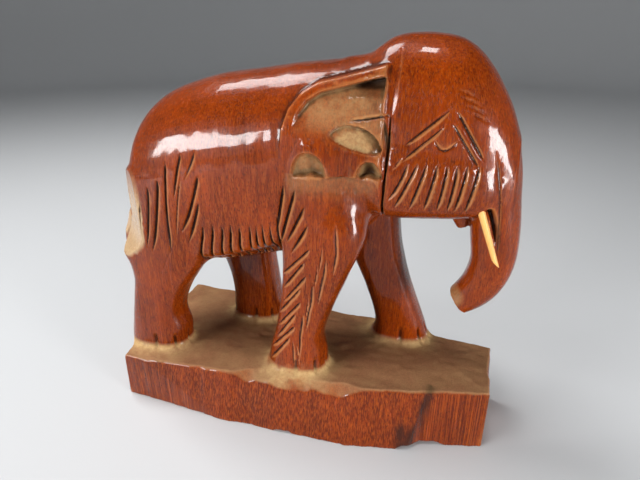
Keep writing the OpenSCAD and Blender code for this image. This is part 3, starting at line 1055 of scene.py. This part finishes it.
def varnished_wood(looks):
    """Deep red-brown hardwood under varnish thinned by handling, with upright grain, dark pores,
    black-brown painted shade in the knife cuts, corners and deep hollows, painted highlight on the
    cuts' front walls, pale edges that are partly wear and partly painted highlight, ochre dust, saw
    marks and a dark streak on the plinth's wall, a painted highlight beside the tail and a bare,
    dull plinth top."""
    s = Shader("varnished_wood")
    cut, edge = s.attribute("cut"), s.attribute("edge")
    dust, bare = s.attribute("dust"), s.attribute("bare")
    dark_streak, recess_highlight, hollow = s.attribute("dark_streak"), s.attribute("recess_highlight"), s.attribute("hollow")
    painted_highlight, wall = s.attribute("painted_highlight"), s.attribute("wall")
    broad = s.noise(s.place((0.07, 0.07, 0.035)), detail=3)
    streaks = s.noise(s.place((1.0, 1.0, 0.05)), detail=4, roughness=0.65)
    fibres = s.noise(s.place((3.2, 3.2, 0.3)), detail=3, roughness=0.6)
    pores = s.noise(s.place((3.4, 3.4, 1.0)), detail=2)
    pore_mask = pores.step(0.52, 0.68)
    tone = (broad * 1.1 + streaks * 1.1 - 0.6).clamped()
    colour = s.mix(tone, rgb(looks.dark_wood), rgb(looks.lit_wood))
    colour = s.mix(fibres.step(0.4, 0.75) * 0.4, colour, rgb(looks.fibre))
    colour = s.mix(pore_mask * 0.5, colour, rgb(looks.pore))
    # Convex edges: pale where handling thins the varnish, and partly a painted highlight.
    wear_and_highlight = edge.step(0.2, 0.6)
    corner = (edge * -1.0).step(0.06, 0.35)
    # Pale colour on convex edges (wear and painted highlight), and painted highlight on the cuts' front
    # walls.
    colour = s.mix((wear_and_highlight * 0.35).highest(painted_highlight.step(0.1, 0.5) * 0.55), colour, rgb(looks.wear_and_highlight))
    sawn = s.noise(s.place((3.4, 3.4, 0.04)), detail=2)
    colour = s.mix(sawn.step(0.42, 0.66) * wall * 0.55, colour, rgb(looks.dark_wood))
    colour = s.mix((1.0 - sawn).step(0.5, 0.75) * wall * 0.4, colour, rgb(looks.fibre))
    # Painted shade: concave corners darkened towards near-black.
    colour = s.mix(corner * 0.7, colour, rgb(looks.shade_and_streak))
    dull_tone = (streaks * 0.5 + fibres * 0.9 - 0.2).clamped()
    dull = s.mix(dull_tone, rgb(looks.bare_dark), rgb(looks.bare_light))
    colour = s.mix(bare * 0.9, colour, dull)
    grit = s.noise(s.place((1.2, 1.2, 1.2)), detail=5, roughness=0.7)
    # Painted highlight: the recess wall beside the tail made pale where it catches the light.
    colour = s.mix((recess_highlight * (grit + 0.3)).clamped() * 0.8, colour, rgb(looks.recess_highlight))
    # A dark leaning streak on the plinth's right wall.
    colour = s.mix((dark_streak * (streaks + 0.7)).clamped() * 0.85, colour, rgb(looks.shade_and_streak))
    dust_mask = (dust * (grit * 1.5 + 0.2)).clamped()
    colour = s.mix(dust_mask, colour, rgb(looks.dust))
    # Painted shade: near-black along the bottom and rear wall of the knife cuts.
    colour = s.mix(cut.step(0.15, 0.75) * 0.9, colour, rgb(looks.shade_and_streak))
    # Painted shade: deep hollows darkened towards near-black.
    colour = s.mix(hollow.step(0.8, 2.0) * 0.85, colour, rgb(looks.shade_and_streak))
    covered = dust_mask.highest(bare * 0.85)
    roughness = (0.17 + streaks * 0.16 + covered * 0.45).clamped()
    height = fibres * 0.5 - pore_mask * 0.6 + streaks * 0.6 + grit * covered * 1.5
    s.set(Base_Color=colour, Roughness=roughness, Coat_Weight=(1.0 - covered * 1.2).clamped() * 0.45,
          Coat_Roughness=0.08, Specular_IOR_Level=0.1, Normal=s.bump(height, 0.00006))
    return s.material


def tusk_wood(looks):
    """Pale split wood with fine upright fibres."""
    s = Shader("tusk_wood")
    fibres = s.noise(s.place((5.0, 5.0, 0.25)), detail=4, roughness=0.6)
    broad = s.noise(s.place((0.3, 0.3, 0.12)), detail=2)
    tone = (fibres * 0.7 + broad * 0.5 - 0.1).clamped()
    colour = s.mix(tone, rgb(looks.tusk_dark), rgb(looks.tusk_light))
    s.set(Base_Color=colour, Roughness=(0.35 + fibres * 0.2).clamped(), Coat_Weight=0.35,
          Coat_Roughness=0.2, Normal=s.bump(fibres, 0.00005))
    return s.material


def plain(name, colour, roughness):
    """One even colour."""
    s = Shader(name)
    s.set(Base_Color=rgb(colour), Roughness=roughness)
    return s.material


# ---------------------------------------------------------------------------------------------
# Settings
# ---------------------------------------------------------------------------------------------


def colour_property(name, description, default):
    return bpy.props.FloatVectorProperty(name=name, description=description, default=default,
                                         subtype="COLOR", size=3, min=0, max=1)


class ElephantSizes(bpy.types.PropertyGroup):
    """How finely the carving is made, and its tusks."""

    triangles: bpy.props.IntProperty(
        name="Triangles", description="About how many triangles the carving has",
        default=190000, min=20000
    )
    tusk_thickness: bpy.props.FloatProperty(
        name="Tusk thickness", description="Thickness of a tusk where it leaves the cheek",
        default=2.0 * MM, unit="LENGTH"
    )
    tusk_tip: bpy.props.FloatProperty(
        name="Tusk tip", description="Thickness of a tusk at its tip", default=1.3 * MM, unit="LENGTH"
    )


class ElephantLooks(bpy.types.PropertyGroup):
    """Colours of the wood, its wear, its dust and the painted shade and highlights on it."""

    dark_wood: colour_property("Dark wood", "Darker tone of the varnished wood", (0.055, 0.0052, 0.0008))
    lit_wood: colour_property("Lit wood", "Lighter tone of the varnished wood", (0.3, 0.038, 0.001))
    fibre: colour_property("Fibre", "Fine light fibres", (0.44, 0.09, 0.005))
    pore: colour_property("Pores", "Pores and fine dark flecks", (0.035, 0.008, 0.003))
    # Pale colour for edges where handling has thinned the varnish; also the painted highlight on convex
    # edges and on the cuts' front walls.
    wear_and_highlight: colour_property("Rubbed edges", "Wood where handling has worn the varnish", (0.55, 0.22, 0.07))
    # Painted highlight: the pale colour painted on the recess wall beside the tail where it catches the
    # light.
    recess_highlight: colour_property("Worn", "Bare wood where the varnish is gone beside the tail", (0.6, 0.44, 0.24))
    # Painted shade: near-black in the knife cuts, concave corners and deep hollows; also the dark streak
    # on the plinth's wall.
    shade_and_streak: colour_property("Cuts", "Bottom of the knife cuts", (0.02, 0.006, 0.003))
    bare_dark: colour_property("Bare dark", "Darker tone of the plinth's dull top", (0.14, 0.055, 0.024))
    bare_light: colour_property("Bare light", "Lighter tone of the plinth's dull top", (0.42, 0.2, 0.1))
    dust: colour_property("Dust", "Ochre dust in the hollows", (0.52, 0.34, 0.15))
    tusk_dark: colour_property("Tusk dark", "Darker fibres of the tusks", (0.75, 0.33, 0.06))
    tusk_light: colour_property("Tusk light", "Lighter fibres of the tusks", (1.0, 0.6, 0.2))
    floor: colour_property("Floor", "The floor", (0.6, 0.61, 0.62))


class ElephantStage(bpy.types.PropertyGroup):
    """Where the camera stands, which way it looks and its lens."""

    place: bpy.props.FloatVectorProperty(
        name="Camera", description="Where the camera stands", default=(0.047, -0.1238, 0.1115),
        subtype="TRANSLATION", unit="LENGTH", size=3
    )
    azimuth: bpy.props.FloatProperty(
        name="Azimuth", description="How far the camera is turned to the animal's head end",
        default=radians(18.5), subtype="ANGLE"
    )
    pitch: bpy.props.FloatProperty(
        name="Pitch", description="How far the camera looks down", default=radians(24), subtype="ANGLE"
    )
    lens: bpy.props.FloatProperty(
        name="Lens", description="Focal length on a 36 mm sensor", default=27.56, min=10
    )


# ---------------------------------------------------------------------------------------------
# Operators
# ---------------------------------------------------------------------------------------------


class ELEPHANT_OT_carving(bpy.types.Operator):
    """Carve the elephant and its plinth"""

    bl_idname = "elephant.carving"
    bl_label = "Carving"

    def execute(self, context):
        carving = Carving()
        points, quads = carving.mesh()
        piece = mesh_from("carved_elephant", points, quads)
        thinned(piece, context.scene.elephant_sizes.triangles)
        points = places(piece)
        mesh = piece.data
        facing = carving.slope(points)
        for name, values in carving.finish_values(points, facing).items():
            layer = mesh.attributes.new(name, "FLOAT", "POINT")
            layer.data.foreach_set("value", np.ascontiguousarray(values, "f4"))
        mesh.shade_smooth()
        mesh.normals_split_custom_set_from_vertices(facing.astype("f4"))
        mesh.materials.append(varnished_wood(context.scene.elephant_looks))
        stand_in(piece, "carving")
        return {"FINISHED"}


class ELEPHANT_OT_tusks(bpy.types.Operator):
    """Whittle the two tusks and set them in the cheeks"""

    bl_idname = "elephant.tusks"
    bl_label = "Tusks"

    def execute(self, context):
        sizes = context.scene.elephant_sizes
        material = tusk_wood(context.scene.elephant_looks)
        for node in ("tusk_right", "tusk_left"):
            piece = whittled_tusk(node, sizes.tusk_thickness / MM, sizes.tusk_tip / MM)
            piece.data.materials.append(material)
            stand_in(piece, node)
        return {"FINISHED"}


def whittled_tusk(node, thickness, tip):
    """A sliver between opposite corners of the CAD tusk's box, each moved in a little: rings whose
    radius is half the thickness times 1 plus a small cosine wave with six crests, narrowing to an
    oblique tip."""
    low, high = (np.array(c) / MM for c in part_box(node))
    outwards = 1 if (low + high)[1] > 0 else -1
    inner_y, outer_y = (low[1], high[1]) if outwards > 0 else (high[1], low[1])
    top = np.array([low[0] + 1, inner_y + outwards, high[2] - 0.8])
    end = np.array([high[0] - 0.9, outer_y - outwards, low[2] + 0.5])
    axis = (end - top) / np.linalg.norm(end - top)
    across = np.cross(axis, (0, 1, 0))
    across /= np.linalg.norm(across)
    other = np.cross(axis, across)
    t = np.linspace(0, 1, 40)[:, None]
    angle = np.linspace(0, 2 * pi, 48, endpoint=False)[None, :]
    radius = 0.5 * (thickness + (tip - thickness) * t) * (1 + 0.05 * np.cos(6 * angle + 0.8))
    along = t * np.linalg.norm(end - top) + t**12 * 1.1 * np.cos(angle)
    rings = (
        top + along[..., None] * axis + (radius * 0.92 * np.cos(angle))[..., None] * across
        + (radius * 1.06 * np.sin(angle))[..., None] * other
    )
    count, sides = rings.shape[:2]
    a = np.arange((count - 1) * sides)
    b = a - a % sides + (a + 1) % sides
    points = rings.reshape(-1, 3)
    piece = mesh_from(node + "_sliver", points, np.stack([a, a + sides, b + sides, b], -1))
    close_ends(piece)
    return piece


def close_ends(piece):
    """Fills the open ends of a tube and turns its faces outwards."""
    mesh = bmesh.new()
    mesh.from_mesh(piece.data)
    bmesh.ops.holes_fill(mesh, edges=[e for e in mesh.edges if e.is_boundary])
    bmesh.ops.triangulate(mesh, faces=[f for f in mesh.faces if len(f.verts) > 4])
    bmesh.ops.recalc_face_normals(mesh, faces=mesh.faces)
    for face in mesh.faces:
        face.smooth = True
    mesh.to_mesh(piece.data)
    mesh.free()


# The area lights: name, place, the point that it looks at, width and height, all in metres, and
# its power in watts
LIGHTS = (
    ("window", (-0.42, -0.46, 0.17), (-0.01, 0, 0.08), (0.34, 0.11), 3.7),
    ("overhead", (-0.22, 0.04, 0.5), (0, 0, 0.07), (0.2, 0.2), 1.9),
    ("side", (0.45, -0.2, 0.075), (0.04, 0, 0.06), (0.12, 0.14), 2.0),
    ("skylight", (0.01, -0.11, 0.6), (0.03, 0, 0.1), (0.1, 0.1), 0.9),
    ("ceiling", (0, 0, 2.2), (0, 0, 0), (2.5, 2.5), 2.6),
)
ROOM_COLOUR = (0.85, 0.92, 1.0)
ROOM_STRENGTH = 0.05
SENSOR_WIDTH = 36


class ELEPHANT_OT_stage(bpy.types.Operator):
    """Set up the floor, the lights and the camera"""

    bl_idname = "elephant.stage"
    bl_label = "Stage"

    def execute(self, context):
        looks, stage = context.scene.elephant_looks, context.scene.elephant_stage
        floor = studio_floor()
        floor.data.materials.append(plain("floor_paper", looks.floor, 0.7))
        world = bpy.data.worlds.new("studio")
        context.scene.world = world
        world.use_nodes = True
        background = world.node_tree.nodes["Background"]
        background.inputs["Color"].default_value = rgb(ROOM_COLOUR)
        background.inputs["Strength"].default_value = ROOM_STRENGTH
        context.scene.view_settings.view_transform = "Standard"
        for light in LIGHTS:
            soft_box(*light)
        camera = bpy.data.objects.new("camera", bpy.data.cameras.new("camera"))
        context.scene.collection.objects.link(camera)
        camera.location = stage.place
        camera.rotation_euler = Euler((pi / 2 - stage.pitch, 0, stage.azimuth))
        camera.data.sensor_width = SENSOR_WIDTH
        camera.data.lens = stage.lens
        camera.data.clip_start = 0.01
        context.scene.camera = camera
        return {"FINISHED"}


def studio_floor():
    """A pale sheet curved up all round: a flat disc, then a quarter circle, then an upright
    wall, as a profile turned about Z."""
    flat, bend, wall = 0.9, 0.5, 0.9
    turn = np.linspace(0, pi / 2, 24)
    r = np.concatenate([[0.001, flat * 0.5], flat + bend * np.sin(turn), [flat + bend]])
    z = np.concatenate([[0, 0], bend - bend * np.cos(turn), [wall]])
    sides = 96
    angle = np.linspace(0, 2 * pi, sides, endpoint=False)[None, :]
    r, z = r[:, None], z[:, None]
    points = np.stack([r * np.cos(angle), r * np.sin(angle), z + 0 * angle], -1)
    a = np.arange((len(r) - 1) * sides)
    b = a - a % sides + (a + 1) % sides
    floor = mesh_from("floor", points.reshape(-1, 3) / MM, np.stack([a, a + sides, b + sides, b], -1))
    floor.data.shade_smooth()
    return floor


def soft_box(name, place, target, size, power):
    """A rectangular area light that looks at a point, size being its width and height."""
    light = bpy.data.lights.new(name, "AREA")
    light.shape = "RECTANGLE"
    light.size, light.size_y = size
    light.energy = power
    box = bpy.data.objects.new(name, light)
    box.location = place
    box.rotation_euler = (Vector(target) - Vector(place)).to_track_quat("-Z", "Y").to_euler()
    bpy.context.scene.collection.objects.link(box)


class ELEPHANT_PT_panel(bpy.types.Panel):
    """Lists the pieces, sizes and colours"""

    bl_label = "Carved Elephant"
    bl_idname = "ELEPHANT_PT_panel"
    bl_space_type = "VIEW_3D"
    bl_region_type = "UI"
    bl_category = "Elephant"

    def draw(self, context):
        for operator in OPERATORS:
            self.layout.operator(operator.bl_idname)
        for name, group in GROUPS.items():
            for setting in group.__annotations__:
                self.layout.prop(getattr(context.scene, name), setting)


GROUPS = {
    "elephant_sizes": ElephantSizes,
    "elephant_looks": ElephantLooks,
    "elephant_stage": ElephantStage,
}
OPERATORS = (ELEPHANT_OT_carving, ELEPHANT_OT_tusks, ELEPHANT_OT_stage)
CLASSES = (*GROUPS.values(), *OPERATORS, ELEPHANT_PT_panel)


def register():
    for each in CLASSES:
        bpy.utils.register_class(each)
    for name, group in GROUPS.items():
        setattr(bpy.types.Scene, name, bpy.props.PointerProperty(type=group))


def unregister():
    for name in GROUPS:
        delattr(bpy.types.Scene, name)
    for each in reversed(CLASSES):
        bpy.utils.unregister_class(each)


def main():
    register()
    bpy.ops.elephant.stage()
    bpy.ops.elephant.carving()
    bpy.ops.elephant.tusks()


if __name__ == "__main__":
    main()
